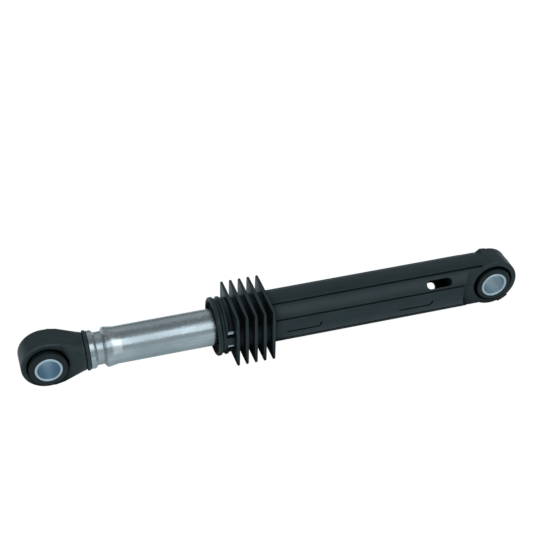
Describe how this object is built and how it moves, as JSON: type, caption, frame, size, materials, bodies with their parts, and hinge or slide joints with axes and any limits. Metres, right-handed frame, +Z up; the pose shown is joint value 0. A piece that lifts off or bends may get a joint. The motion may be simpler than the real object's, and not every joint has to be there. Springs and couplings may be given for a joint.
{
  "type": "washing machine shock absorber",
  "caption": "Friction shock absorber of a washing machine drum: a finned moulded housing, a steel tube that slides in it, and a rubber-bushed eye at each end.",
  "frame": {"origin": "centre of the bore in the housing's eye", "axes": "+X along the absorber, away from the rod end; +Y along both eyes' bores; +Z up as in the picture"},
  "size_m": [0.2362, 0.0294, 0.0274],
  "materials": {
    "moulding": "satin black-green moulding",
    "guide": "plain moulding",
    "lining": "greased foam",
    "steel": "bright zinc plate",
    "plug": "natural moulding",
    "bush": "smooth rubber",
    "sleeve": "zinc plate"
  },
  "bodies": {
    "housing": {"housing": "moulding", "mouth_guide": "guide", "inner_guide": "guide", "friction_lining": "lining", "housing_bush": "bush", "housing_sleeve": "sleeve"},
    "slider": {"piston_ring": "guide"},
    "rod": {"rod_tube": "steel", "rod_end_eye": "moulding", "rod_plug": "plug", "rod_bush": "bush", "rod_sleeve": "sleeve"}
  },
  "joints": [
    {"name": "rod_slide", "type": "slide", "parent": "housing", "child": "slider", "axis": [-1, 0, 0], "range_m": [-0.04, 0.038]},
    {"name": "rod_twist", "type": "hinge", "parent": "slider", "child": "rod", "pos_m": [0, 0, 0], "axis": [1, 0, 0], "continuous": true}
  ]
}
